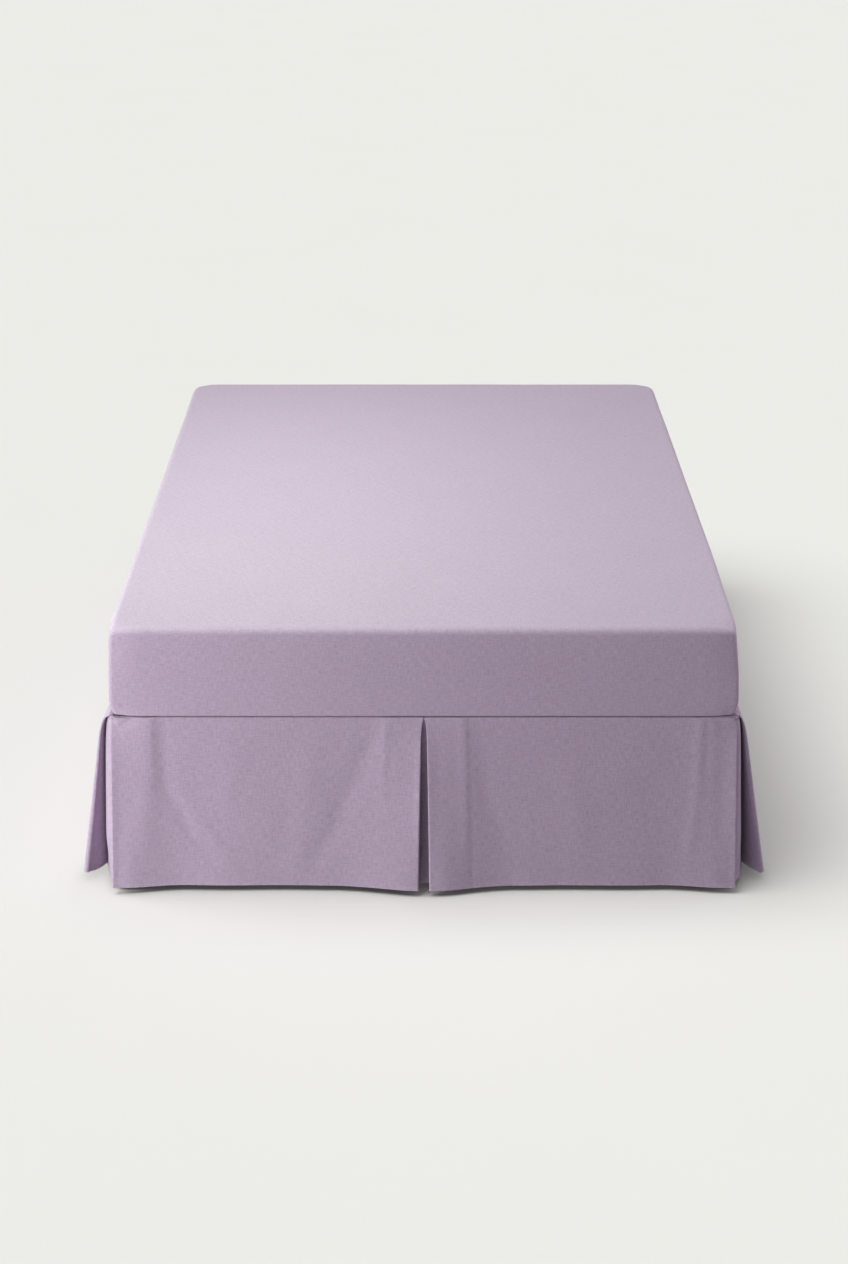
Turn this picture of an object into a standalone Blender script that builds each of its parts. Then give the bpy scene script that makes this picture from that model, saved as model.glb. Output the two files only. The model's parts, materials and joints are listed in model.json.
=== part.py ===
"""Double mattress on a plain base, dressed with a tailored bed skirt.

The skirt is a flat deck cloth between mattress and base, with six drop panels
that hang from the deck's edge on the foot and on both long sides.  Inverted
pleats part the panels: one in the middle of each side and one round each foot
corner.  At a pleat both panels fold back behind themselves, and an underlay
closes the space between the two folds.

Metres, +Z up.  X is across the bed, +Y runs from foot to head, and the origin
is on the floor, at the middle of the whole object's box.
"""

from collections import namedtuple
from math import cos, exp, pi, radians, sin, sqrt

import bmesh
import bpy
from mathutils import Matrix, Vector

# --------------------------------------------------------------- driving sizes
MATTRESS_WIDTH = 1.396          # at the fullest height
MATTRESS_LENGTH = 1.934
MATTRESS_HEIGHT = 0.2045
MATTRESS_CORNER = 0.026         # radius of the upright corners
MATTRESS_TOP_EDGE = 0.022
MATTRESS_BOTTOM_EDGE = 0.012
MATTRESS_CROWN = 0.007          # rise of the top in the middle
MATTRESS_DRAW_TOP = 0.0065      # how far the sides draw in from half height to the top
MATTRESS_DRAW_BOTTOM = 0.0030
MATTRESS_SWELL = 0.4            # a small power keeps the sides full near their rims
MATTRESS_CORNER_SLUMP = 0.007   # the top's corners sink by this
MATTRESS_SLUMP_FROM = 0.6       # share of the side's height where they start to sink

BASE_LEDGE = 0.001              # the base is wider than the mattress by this, all round
BASE_TOP = 0.4315               # height of the base's top over the floor
BASE_CORNER = 0.030
BASE_EDGE = 0.006
FOOT_HEIGHT = 0.050
FOOT_RADIUS = 0.026
FOOT_INSET = 0.110

CLOTH = 0.0012                  # thickness of the skirt's cloth
SEAM = 0.0003                   # gap between pieces that touch
HEM_CLEARANCE = 0.012           # the hem hangs this far off the floor
UNDERLAY_SHORT = 0.002          # the underlays are cut this much shorter
PLEAT_DEPTH = 0.092             # how far a panel folds back behind itself

# Distances of the cloth's middle line from the base's upright faces.
OUT_UNDERLAY = 0.0028
OUT_INNER_FOLD = 0.0043
OUT_PANEL_ON_PLEAT = 0.0080
OUT_PANEL = 0.0038
OUT_PANEL_HEM = 0.0134          # same, at the hem, away from the pleats
UNDERLAY_FLARE = 0.0012         # how far a straight underlay swings out at its hem
PLEAT_STEP = (0.084, 0.112)     # where the panel steps in past the inner fold

# The cloth turns over the base's top edge and ends under the mattress.
PANEL_BEND = 0.009
UNDERLAY_BEND = 0.005
PANEL_FLANGE_END = -0.024
UNDERLAY_FLANGE_END = -0.014
MITRE_REACH = 0.034             # at the foot corners the flange stays short this far,
MITRE_FADE = 0.020              # and reaches its full width over this length more
MITRE_FLANGE_END = -0.0055

# A hanging edge swings out fast below its bend, then in a straight line.
SHOULDER_SHARE = 0.10
SHOULDER_DEPTH = 0.04

RIDGE_RADIUS_TOP = 0.0015
RETURN_EASE = 0.5               # 0 is a straight return, 1 one that curves at both ends

# How finely each shape is cut into faces.
DROP_ROWS = (0.0, 0.04, 0.12, 0.30, 0.52, 0.76, 1.0)
BEND_ANGLES = (30, 60)
RIDGE_ANGLES = (0, 45, 90, 135, 180)
FACE_STATIONS = (0.020, 0.045, 0.068, 0.086, 0.112, 0.150, 0.215)
RETURN_SHARES = (0.35, 0.70, 1.0)
MIDDLE_SPACING = 0.14
UNDERLAY_SHARES = (-1.0, -0.6, -0.2, 0.2, 0.6, 1.0)
MATTRESS_CUTS_ACROSS = (-0.72, -0.40, 0.0, 0.40, 0.72)
MATTRESS_CUTS_ALONG = (-0.80, -0.50, 0.0, 0.50, 0.80)
MATTRESS_CUTS_UP = (0.25, 0.50, 0.72)
CORNER_STEPS = 5
EDGE_STEPS = 4
FOOT_SIDES = 16
SHARP_ANGLE = 50                # degrees; flatter edges are shaded smooth

# ------------------------------------------------------------- derived sizes
HALF_WIDTH = MATTRESS_WIDTH / 2 + BASE_LEDGE
BASE_LENGTH = MATTRESS_LENGTH + 2 * BASE_LEDGE
UNDERLAY_FLANGE_Z = BASE_TOP + SEAM + CLOTH / 2
PANEL_FLANGE_Z = UNDERLAY_FLANGE_Z + CLOTH + SEAM
MATTRESS_BOTTOM = PANEL_FLANGE_Z + CLOTH / 2 + SEAM
HANG_TOP = PANEL_FLANGE_Z - PANEL_BEND      # below this all the cloth hangs

# One row for each kind of panel end.  ridge_* is the distance from the pleat's
# middle, or from the base's corner, to the fold; out_hem is how far the fold
# swings out; reach is how far along the panel that swing dies away; fold_*
# places the inner fold at the hem, and turn is the ridge's radius there.  parting
# is the share of the ridge's way along the panel that it makes just below the top.
PanelEnd = namedtuple(
    "PanelEnd", "ridge_top ridge_hem parting out_hem reach fold_out_hem fold_slide turn")
MIDDLE = PanelEnd(0.0014, 0.0125, 0.45, 0.0384, 0.20, 0.0058, 0.0, 0.0045)
FOOT_CORNER = PanelEnd(0.006, -0.011, 0.0, 0.0210, 0.17, 0.0058, 0.0, 0.0030)
LEFT_CORNER = PanelEnd(0.013, 0.036, 0.0, 0.0855, 0.36, 0.0260, -0.004, 0.0080)
RIGHT_CORNER = PanelEnd(0.013, 0.035, 0.0, 0.0860, 0.36, 0.0370, -0.004, 0.0080)
HEAD_EDGE = PanelEnd(0.006, 0.006, 0.0, 0.0150, 0.25, None, None, None)

# The panels.  start and end are their two edges in the side's own direction;
# wave and phase give each hem its own slight unevenness.
Panel = namedtuple("Panel", "name side start start_at end end_at wave phase")
PANELS = (
    Panel("drop_foot_left", "foot", FOOT_CORNER, -HALF_WIDTH, MIDDLE, 0.0, 0.0012, 0.4),
    Panel("drop_foot_right", "foot", MIDDLE, 0.0, FOOT_CORNER, HALF_WIDTH, 0.0014, 2.1),
    Panel("drop_left_front", "left", LEFT_CORNER, 0.0, MIDDLE, BASE_LENGTH / 2, 0.0016, 1.2),
    Panel("drop_left_back", "left", MIDDLE, BASE_LENGTH / 2, HEAD_EDGE, BASE_LENGTH, 0.0016, 3.0),
    Panel("drop_right_front", "right", RIGHT_CORNER, 0.0, MIDDLE, BASE_LENGTH / 2, 0.0015, 0.1),
    Panel("drop_right_back", "right", MIDDLE, BASE_LENGTH / 2, HEAD_EDGE, BASE_LENGTH, 0.0017, 4.2),
)
WAVE_LENGTH = 0.23

# The straight underlays, one behind each middle pleat.
Underlay = namedtuple("Underlay", "name side middle")
UNDERLAYS = (
    Underlay("underlay_foot", "foot", 0.0),
    Underlay("underlay_left", "left", BASE_LENGTH / 2),
    Underlay("underlay_right", "right", BASE_LENGTH / 2),
)

# A corner underlay runs from the foot side's inner fold, round the base's
# corner, to the long side's inner fold.  On a leg, share runs from the corner's
# arc (0) to the inner fold (1); on the arc, from the foot side to the long one.
# left_hem and right_hem are the two underlays' distances from the base at the hem.
CornerStation = namedtuple("CornerStation", "part share left_hem right_hem")
CORNER_STATIONS = (
    CornerStation("foot leg", 1.00, 0.0042, 0.0042),
    CornerStation("foot leg", 0.62, 0.0044, 0.0044),
    CornerStation("foot leg", 0.28, 0.0046, 0.0046),
    CornerStation("arc", 0.00, 0.0054, 0.0054),
    CornerStation("arc", 0.25, 0.0085, 0.0075),
    CornerStation("arc", 0.50, 0.0230, 0.0180),
    CornerStation("arc", 0.75, 0.0250, 0.0225),
    CornerStation("arc", 1.00, 0.0273, 0.0281),
    CornerStation("side leg", 0.30, 0.0355, 0.0362),
    CornerStation("side leg", 0.45, 0.0395, 0.0397),
    CornerStation("side leg", 1.00, 0.0242, 0.0352),
)

# The object's box in Y runs from the middle pleat's folds to the base's head.
FRONT_REACH = MIDDLE.out_hem + CLOTH / 2
BASE_FOOT_Y = (FRONT_REACH - BASE_LENGTH) / 2

Side = namedtuple("Side", "origin along out")
SIDES = {
    "foot": Side(Vector((0, BASE_FOOT_Y, 0)), Vector((1, 0, 0)), Vector((0, -1, 0))),
    "left": Side(Vector((-HALF_WIDTH, BASE_FOOT_Y, 0)), Vector((0, 1, 0)), Vector((-1, 0, 0))),
    "right": Side(Vector((HALF_WIDTH, BASE_FOOT_Y, 0)), Vector((0, 1, 0)), Vector((1, 0, 0))),
}

Finish = namedtuple("Finish", "colour roughness")
FINISHES = {
    "cover_cloth": Finish((0.60, 0.53, 0.63), 0.9),
    "skirt_cloth": Finish((0.52, 0.44, 0.54), 0.9),
    "deck_cloth": Finish((0.72, 0.70, 0.72), 0.95),
    "base_cloth": Finish((0.62, 0.60, 0.58), 0.95),
    "foot_plastic": Finish((0.05, 0.05, 0.05), 0.5),
}


# -------------------------------------------------------------------- helpers
def clear_scene():
    for obj in list(bpy.data.objects):
        bpy.data.objects.remove(obj, do_unlink=True)


def material(name):
    """The named finish as a Principled material, made once."""
    found = bpy.data.materials.get(name)
    if found:
        return found
    finish = FINISHES[name]
    made = bpy.data.materials.new(name)
    made.use_nodes = True
    shader = made.node_tree.nodes["Principled BSDF"]
    shader.inputs["Base Color"].default_value = (*finish.colour, 1.0)
    shader.inputs["Roughness"].default_value = finish.roughness
    shader.inputs["Metallic"].default_value = 0.0
    made.diffuse_color = (*finish.colour, 1.0)
    return made


def add_object(name, mesh, finish, collection):
    obj = bpy.data.objects.new(name, mesh)
    collection.objects.link(obj)
    mesh.materials.append(material(finish))
    mesh.shade_smooth()
    mesh.set_sharp_from_angle(angle=radians(SHARP_ANGLE))
    return obj


def smooth_step(low, high, value):
    share = min(max((value - low) / (high - low), 0.0), 1.0)
    return share * share * (3 - 2 * share)


def swing(t, share=SHOULDER_SHARE):
    """How much of its full swing an edge has at the share t of the drop."""
    return share * (1 - exp(-t / SHOULDER_DEPTH)) + (1 - share) * t


def mix(first, last, share):
    return first + (last - first) * share


def rounded_block(size, corner, top_edge, bottom_edge, cuts=()):
    """A box with round upright corners and round rims, standing on z = 0.

    cuts lists (axis, positions) of extra loops, for faces that will be bent.
    """
    bm = bmesh.new()
    bmesh.ops.create_cube(bm, size=1.0, matrix=Matrix.Translation((0, 0, size.z / 2)) @
                          Matrix.Diagonal((size.x, size.y, size.z, 1)))
    upright = [e for e in bm.edges if abs(e.verts[0].co.z - e.verts[1].co.z) > size.z / 2]
    bmesh.ops.bevel(bm, geom=upright, offset=corner, segments=CORNER_STEPS, profile=0.5,
                    affect="EDGES")
    for level, edge in ((size.z, top_edge), (0.0, bottom_edge)):
        if edge:
            rim = [e for e in bm.edges if all(abs(v.co.z - level) < 1e-6 for v in e.verts)]
            bmesh.ops.bevel(bm, geom=rim, offset=edge, segments=EDGE_STEPS, profile=0.5,
                            affect="EDGES")
    for axis, positions in cuts:
        normal = Vector((0, 0, 0))
        normal[axis] = 1.0
        for position in positions:
            everything = bm.verts[:] + bm.edges[:] + bm.faces[:]
            bmesh.ops.bisect_plane(bm, geom=everything, plane_co=normal * position,
                                   plane_no=normal, dist=1e-6)
    return bm


def finish_mesh(bm, name):
    bmesh.ops.recalc_face_normals(bm, faces=bm.faces[:])
    mesh = bpy.data.meshes.new(name)
    bm.to_mesh(mesh)
    bm.free()
    return mesh


def add_cloth(name, rows, has_face, collection):
    """A sheet of cloth from rows of points, top to hem, given its thickness.

    has_face(row, station) says whether the sheet covers that place.
    """
    bm = bmesh.new()
    verts = {}

    def vert(row, station):
        if (row, station) not in verts:
            verts[row, station] = bm.verts.new(rows[row][station])
        return verts[row, station]

    for row in range(len(rows) - 1):
        for station in range(len(rows[row]) - 1):
            if has_face(row, station):
                corners = ((row, station), (row + 1, station),
                           (row + 1, station + 1), (row, station + 1))
                bm.faces.new([vert(*corner) for corner in corners])
    obj = add_object(name, finish_mesh(bm, name), "skirt_cloth", collection)
    solid = obj.modifiers.new("thickness", "SOLIDIFY")
    solid.thickness = CLOTH
    solid.offset = 0.0
    solid.use_even_offset = True
    solid.use_quality_normals = True
    return obj


def place(side, along, out, z):
    spot = SIDES[side]
    point = spot.origin + spot.along * along + spot.out * out
    point.z = z
    return point


def hang(point_at, top_z, hem_z):
    """Rows of the drop, where point_at(t) gives the line of plan points at t.

    A point that swings out rises a little, because the cloth keeps its length.
    """
    drop = top_z - hem_z
    start = point_at(0.0)
    rows = []
    for t in DROP_ROWS:
        row = []
        for first, point in zip(start, point_at(t)):
            moved = (point - first).to_2d().length
            fall = sqrt(max(t * drop, moved) ** 2 - moved ** 2)
            row.append(Vector((point.x, point.y, top_z - fall)))
        rows.append(row)
    return rows


# --------------------------------------------------------------- rigid pieces
def add_mattress(collection):
    """The covered mattress: round edges, a low crown and softly swelling sides."""
    size = Vector((MATTRESS_WIDTH, MATTRESS_LENGTH, MATTRESS_HEIGHT))
    half = size / 2
    cuts = ((0, [half.x * share for share in MATTRESS_CUTS_ACROSS]),
            (1, [half.y * share for share in MATTRESS_CUTS_ALONG]),
            (2, [size.z * share for share in MATTRESS_CUTS_UP]))
    bm = rounded_block(size, MATTRESS_CORNER, MATTRESS_TOP_EDGE, MATTRESS_BOTTOM_EDGE, cuts)
    for vert in bm.verts:
        x, y, z = vert.co
        level = (z - MATTRESS_BOTTOM_EDGE) / (size.z - MATTRESS_TOP_EDGE - MATTRESS_BOTTOM_EDGE)
        drawn = MATTRESS_DRAW_TOP if level > 0.5 else MATTRESS_DRAW_BOTTOM
        drawn *= 1 - sin(pi * min(max(level, 0.0), 1.0)) ** MATTRESS_SWELL
        edge_x = max(abs(x) - (half.x - MATTRESS_CORNER), 0.0) / MATTRESS_CORNER
        edge_y = max(abs(y) - (half.y - MATTRESS_CORNER), 0.0) / MATTRESS_CORNER
        vert.co.x -= drawn * edge_x * (1 if x > 0 else -1)
        vert.co.y -= drawn * edge_y * (1 if y > 0 else -1)
        inside = (1 - (x / half.x) ** 4) * (1 - (y / half.y) ** 4)
        rise = MATTRESS_CROWN * max(inside, 0.0) if z > size.z - 1e-6 else 0.0
        slump = MATTRESS_CORNER_SLUMP * edge_x * edge_y * smooth_step(
            MATTRESS_SLUMP_FROM, 1.0, level)
        vert.co.z += MATTRESS_BOTTOM + rise - slump
    foot_to_middle = BASE_FOOT_Y + BASE_LEDGE + half.y
    bmesh.ops.translate(bm, verts=bm.verts[:], vec=(0, foot_to_middle, 0))
    add_object("mattress", finish_mesh(bm, "mattress"), "cover_cloth", collection)


def add_base(collection):
    """The plain upholstered base, and the six feet that it stands on."""
    size = Vector((2 * HALF_WIDTH, BASE_LENGTH, BASE_TOP - FOOT_HEIGHT - SEAM))
    bm = rounded_block(size, BASE_CORNER, BASE_EDGE, BASE_EDGE)
    middle = BASE_FOOT_Y + BASE_LENGTH / 2
    bmesh.ops.translate(bm, verts=bm.verts[:], vec=(0, middle, FOOT_HEIGHT + SEAM))
    add_object("bed_base", finish_mesh(bm, "bed_base"), "base_cloth", collection)

    reach = (HALF_WIDTH - FOOT_INSET, BASE_LENGTH / 2 - FOOT_INSET)
    spots = [(side, end) for end in (-1, 0, 1) for side in (-1, 1)]
    for number, (side, end) in enumerate(spots, start=1):
        bm = bmesh.new()
        bmesh.ops.create_cone(bm, cap_ends=True, segments=FOOT_SIDES, radius1=FOOT_RADIUS,
                              radius2=FOOT_RADIUS, depth=FOOT_HEIGHT)
        at = (side * reach[0], middle + end * reach[1], FOOT_HEIGHT / 2)
        bmesh.ops.translate(bm, verts=bm.verts[:], vec=at)
        name = f"base_foot_{number}"
        add_object(name, finish_mesh(bm, name), "foot_plastic", collection)


def add_deck(collection):
    """The skirt's deck: a flat cloth on the base, inside the underlays' flanges."""
    inset = -UNDERLAY_FLANGE_END + SEAM
    size = Vector((2 * (HALF_WIDTH - inset), BASE_LENGTH - 2 * inset, CLOTH))
    bm = rounded_block(size, BASE_CORNER - inset, 0.0, 0.0)
    at = (0, BASE_FOOT_Y + BASE_LENGTH / 2, BASE_TOP + SEAM)
    bmesh.ops.translate(bm, verts=bm.verts[:], vec=at)
    add_object("skirt_deck", finish_mesh(bm, "skirt_deck"), "deck_cloth", collection)


# --------------------------------------------------------------- drop panels
def ridge_at(end, t):
    """Where the end's fold lies along the side, from the pleat's middle."""
    return mix(end.ridge_top, end.ridge_hem, swing(t, end.parting))


def face_out(end, distance, t):
    """How far out the panel's face lies, at a distance from one end's ridge."""
    near_pleat = 0.0 if end.turn is None else 1 - smooth_step(*PLEAT_STEP, distance)
    top = mix(OUT_PANEL, OUT_PANEL_ON_PLEAT, near_pleat)
    fade = 1 - smooth_step(0.0, end.reach, distance)
    hem = mix(OUT_PANEL_HEM, end.out_hem, fade)
    hem = max(hem, top + OUT_PANEL_HEM - OUT_PANEL)
    return mix(top, hem, swing(t))


def end_line(end, t):
    """(distance, out) from the inner fold, round the ridge, to the face's start."""
    if end.turn is None:
        return [(0.0, face_out(end, 0.0, t))]
    radius = mix(RIDGE_RADIUS_TOP, end.turn, swing(t))
    face = face_out(end, 0.0, t)
    behind = face - 2 * radius
    fold = mix(OUT_INNER_FOLD, end.fold_out_hem, swing(t))
    length = PLEAT_DEPTH + mix(0.0, end.fold_slide, t)
    line = []
    for share in reversed(RETURN_SHARES):
        ease = mix(share, smooth_step(0.0, 1.0, share), RETURN_EASE)
        line.append((mix(radius, length, share), mix(behind, fold, ease)))
    for angle in reversed(RIDGE_ANGLES):
        turn = radians(angle)
        line.append((radius - radius * sin(turn), face - radius + radius * cos(turn)))
    return line


def panel_line(panel, t):
    """The panel's plan line at the share t of the drop, as (along, out) pairs."""
    start_ridge = panel.start_at + ridge_at(panel.start, t)
    end_ridge = panel.end_at - ridge_at(panel.end, t)
    width = end_ridge - start_ridge
    inner = panel.end_at - panel.start_at - 2 * FACE_STATIONS[-1]
    middles = max(1, round(inner / MIDDLE_SPACING) - 1)
    distances = list(FACE_STATIONS)
    distances += [mix(FACE_STATIONS[-1], width - FACE_STATIONS[-1], (n + 1) / (middles + 1))
                  for n in range(middles)]
    distances += [width - station for station in reversed(FACE_STATIONS)]

    line = [(start_ridge + along, out) for along, out in end_line(panel.start, t)]
    for distance in distances:
        out = max(face_out(panel.start, distance, t), face_out(panel.end, width - distance, t))
        ripple = sin(2 * pi * distance / WAVE_LENGTH + panel.phase) + 1
        out += panel.wave * ripple * t * t
        line.append((start_ridge + distance, out))
    line += [(end_ridge - along, out) for along, out in reversed(end_line(panel.end, t))]
    return line


def flange_end(panel, along):
    """How far in the flange reaches: less beside a foot corner, where two meet."""
    if panel.side != "foot":
        return PANEL_FLANGE_END
    from_corner = HALF_WIDTH - abs(along)
    return mix(MITRE_FLANGE_END, PANEL_FLANGE_END,
               smooth_step(MITRE_REACH, MITRE_REACH + MITRE_FADE, from_corner))


def add_panel(panel, collection):
    top = panel_line(panel, 0.0)
    rows = [[place(panel.side, along, flange_end(panel, along), PANEL_FLANGE_Z)
             for along, out in top],
            [place(panel.side, along, out - PANEL_BEND, PANEL_FLANGE_Z)
             for along, out in top]]
    for angle in BEND_ANGLES:
        turn = radians(angle)
        rows.append([place(panel.side, along, out - PANEL_BEND * (1 - sin(turn)),
                           HANG_TOP + PANEL_BEND * cos(turn)) for along, out in top])

    def plan(t):
        return [place(panel.side, along, out, 0.0) for along, out in panel_line(panel, t)]

    rows += hang(plan, HANG_TOP, HEM_CLEARANCE)
    turned = 2 + len(BEND_ANGLES)
    apex = len(RETURN_SHARES) + RIDGE_ANGLES.index(90)
    first = 0 if panel.start.turn is None else apex
    last = len(top) - 1 - (0 if panel.end.turn is None else apex)

    def has_face(row, station):
        return row >= turned or first <= station < last

    add_cloth(panel.name, rows, has_face, collection)


# ------------------------------------------------------------------ underlays
def add_underlay(underlay, collection):
    """The straight cloth behind a middle pleat, from inner fold to inner fold."""
    bend_z = UNDERLAY_FLANGE_Z - UNDERLAY_BEND

    def line(t):
        half = ridge_at(MIDDLE, t) + PLEAT_DEPTH
        out = OUT_UNDERLAY + UNDERLAY_FLARE * swing(t)
        return [(underlay.middle + half * share, out) for share in UNDERLAY_SHARES]

    def row(out_of, z):
        return [place(underlay.side, along, out_of(out), z) for along, out in line(0.0)]

    rows = [row(lambda out: UNDERLAY_FLANGE_END, UNDERLAY_FLANGE_Z),
            row(lambda out: out - UNDERLAY_BEND, UNDERLAY_FLANGE_Z)]
    for angle in BEND_ANGLES:
        turn = radians(angle)
        rows.append(row(lambda out: out - UNDERLAY_BEND * (1 - sin(turn)),
                        bend_z + UNDERLAY_BEND * cos(turn)))

    def plan(t):
        return [place(underlay.side, along, out, 0.0) for along, out in line(t)]

    rows.append(row(lambda out: out, bend_z))
    rows += hang(plan, HANG_TOP, HEM_CLEARANCE + UNDERLAY_SHORT)
    add_cloth(underlay.name, rows, lambda row, station: True, collection)


def corner_point(hand, station, out, t):
    """A plan point of a corner underlay, at the distance out from the base."""
    turn = {"foot leg": 0.0, "arc": station.share * pi / 2, "side leg": pi / 2}[station.part]
    side_end = LEFT_CORNER if hand < 0 else RIGHT_CORNER
    end = FOOT_CORNER if station.part == "foot leg" else side_end
    leg = ridge_at(end, t) + PLEAT_DEPTH + end.fold_slide * t - BASE_CORNER
    beyond = {"foot leg": -leg * station.share, "arc": 0.0, "side leg": leg * station.share}
    outward = Vector((sin(turn), -cos(turn), 0))
    onward = Vector((cos(turn), sin(turn), 0))
    centre = Vector((HALF_WIDTH - BASE_CORNER, BASE_FOOT_Y + BASE_CORNER, 0))
    point = centre + outward * (BASE_CORNER + out) + onward * beyond[station.part]
    return Vector((hand * point.x, point.y, 0))


def add_corner_underlay(name, hand, collection):
    """The underlay that wraps round a foot corner, behind both panels' folds."""
    bend_z = UNDERLAY_FLANGE_Z - UNDERLAY_BEND

    def row(out, z):
        points = [corner_point(hand, station, out, 0.0) for station in CORNER_STATIONS]
        return [Vector((point.x, point.y, z)) for point in points]

    rows = [row(UNDERLAY_FLANGE_END, UNDERLAY_FLANGE_Z),
            row(OUT_UNDERLAY - UNDERLAY_BEND, UNDERLAY_FLANGE_Z)]
    for angle in BEND_ANGLES:
        turn = radians(angle)
        rows.append(row(OUT_UNDERLAY - UNDERLAY_BEND * (1 - sin(turn)),
                        bend_z + UNDERLAY_BEND * cos(turn)))

    def plan(t):
        line = []
        for station in CORNER_STATIONS:
            out_hem = station.left_hem if hand < 0 else station.right_hem
            out = mix(OUT_UNDERLAY, out_hem, swing(t))
            line.append(corner_point(hand, station, out, t))
        return line

    rows.append(row(OUT_UNDERLAY, bend_z))
    rows += hang(plan, HANG_TOP, HEM_CLEARANCE + UNDERLAY_SHORT)
    add_cloth(name, rows, lambda row, station: True, collection)


# ----------------------------------------------------------------- the object
def main():
    clear_scene()
    collection = bpy.data.collections.new("mattress_with_bed_skirt")
    bpy.context.scene.collection.children.link(collection)
    add_mattress(collection)
    add_base(collection)
    add_deck(collection)
    for panel in PANELS:
        add_panel(panel, collection)
    for underlay in UNDERLAYS:
        add_underlay(underlay, collection)
    add_corner_underlay("underlay_corner_left", -1, collection)
    add_corner_underlay("underlay_corner_right", 1, collection)


main()
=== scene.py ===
"""A double mattress on a plain base, dressed with a tailored lilac bed skirt.

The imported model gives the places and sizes.  Every cloth of the skirt is built again
here as a thin woven sheet that follows the folds of its solid, with pressed creases,
soft dents and a turned-up hem.  The mattress is a soft block in its own cover.

Metres, +Z up.  X runs across the bed, and +Y from its foot to its head.
"""

import json
from collections import namedtuple
from math import cos, exp, hypot, pi, radians, sin, sqrt

import bmesh
import bpy
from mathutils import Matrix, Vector, noise

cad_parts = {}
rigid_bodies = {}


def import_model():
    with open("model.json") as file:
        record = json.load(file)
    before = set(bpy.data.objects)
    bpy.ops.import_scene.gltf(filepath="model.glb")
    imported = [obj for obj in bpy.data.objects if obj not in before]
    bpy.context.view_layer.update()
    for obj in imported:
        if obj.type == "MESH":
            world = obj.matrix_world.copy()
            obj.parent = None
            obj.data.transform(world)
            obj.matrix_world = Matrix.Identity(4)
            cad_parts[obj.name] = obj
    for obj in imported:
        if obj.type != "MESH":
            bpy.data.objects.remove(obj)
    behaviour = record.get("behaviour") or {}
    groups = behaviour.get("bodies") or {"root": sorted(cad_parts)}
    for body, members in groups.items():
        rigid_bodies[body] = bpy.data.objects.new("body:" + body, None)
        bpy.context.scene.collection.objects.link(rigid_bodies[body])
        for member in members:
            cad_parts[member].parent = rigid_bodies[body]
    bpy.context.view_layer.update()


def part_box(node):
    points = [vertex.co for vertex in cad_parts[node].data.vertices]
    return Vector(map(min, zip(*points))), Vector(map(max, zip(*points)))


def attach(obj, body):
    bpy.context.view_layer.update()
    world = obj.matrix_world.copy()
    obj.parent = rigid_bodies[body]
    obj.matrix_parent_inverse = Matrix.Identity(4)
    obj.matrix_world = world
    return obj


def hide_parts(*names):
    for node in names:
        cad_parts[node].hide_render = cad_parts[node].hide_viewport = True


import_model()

# ---------------- sizes from the frame
BASE_LOW, BASE_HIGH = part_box("bed_base")
PAD_LOW, PAD_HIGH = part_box("mattress")
DECK_LOW, DECK_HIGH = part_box("skirt_deck")
HALF_WIDTH = BASE_HIGH.x
FOOT_Y = BASE_LOW.y
BASE_LENGTH = BASE_HIGH.y - BASE_LOW.y
BASE_TOP = BASE_HIGH.z
SIDE_MIDDLE = BASE_LENGTH / 2

# ---------------- how the skirt hangs
# Seams, clearances and pleats are as the solids have them.  The sheets hang a few millimetres
# closer to the base and turn over its edge more sharply, as the cloth does in the photograph.
CLOTH = 0.0012
SEAM = 0.0003
HEM_CLEARANCE = 0.012
UNDERLAY_SHORT = 0.002
PLEAT_DEPTH = 0.092
BASE_CORNER = 0.030

OUT_UNDERLAY = 0.0007
OUT_INNER_FOLD = 0.0019
OUT_PANEL_ON_PLEAT = 0.0032
OUT_PANEL = 0.0012
OUT_PANEL_HEM = 0.0095
UNDERLAY_FLARE = 0.0012
PLEAT_STEP = (0.070, 0.125)

PANEL_BEND = 0.0022
UNDERLAY_BEND = 0.0018
PANEL_FLANGE_END = -0.024
UNDERLAY_FLANGE_END = -0.014
MITRE_REACH = 0.034
MITRE_FADE = 0.020
MITRE_FLANGE_END = -0.0055

SHOULDER_DEPTH = 0.04
SHOULDER_SHARE = 0.10           # of a swing, unless an end says otherwise
RIDGE_RADIUS_TOP = 0.0006
WAVE_LENGTH = 0.23

UNDERLAY_FLANGE_Z = BASE_TOP + SEAM + CLOTH / 2
PANEL_FLANGE_Z = UNDERLAY_FLANGE_Z + CLOTH + SEAM
HANG_TOP = PANEL_FLANGE_Z - PANEL_BEND

# One end of a panel.  Its ridge is the fold beside a pleat's mouth, and its return runs from
# there to the inner fold.  A head edge has neither, and just ends.  ridge_* is the ridge's
# distance from the pleat's middle or the base's corner, out_hem its swing outwards at the hem,
# and reach how far along the panel that swing dies away.  fold_* places the inner fold at the
# hem.  turn is the ridge's radius low down, and curl how far the face stands out beside it.
# parting and shoulder are the shares of their ways that are made just below the top.
PanelEnd = namedtuple("PanelEnd", "ridge_top ridge_hem out_hem shoulder reach parting "
                                  "fold_out_hem fold_slide return_roll turn turn_depth "
                                  "curl curl_depth curl_at_hem",
                      defaults=(0.0, None, 0.0, 0.0, None, None, 0.0, 1.0, 1.0))
MIDDLE = PanelEnd(
    ridge_top=0.0014, ridge_hem=0.0125, out_hem=0.0384, shoulder=0.10, reach=0.20, parting=0.45,
    fold_out_hem=0.0058, turn=0.0037, turn_depth=0.60,
    curl=0.0044, curl_depth=0.14, curl_at_hem=0.3)
MIDDLE_ROLLED = MIDDLE._replace(curl=0.0110, curl_depth=0.25, curl_at_hem=0.12)
FOOT_CORNER = PanelEnd(
    ridge_top=0.0052, ridge_hem=-0.012, out_hem=0.0210, shoulder=0.10, reach=0.17,
    fold_out_hem=0.0058, turn=0.0030, turn_depth=0.60,
    curl=0.0066, curl_depth=0.34, curl_at_hem=0.8)
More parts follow.
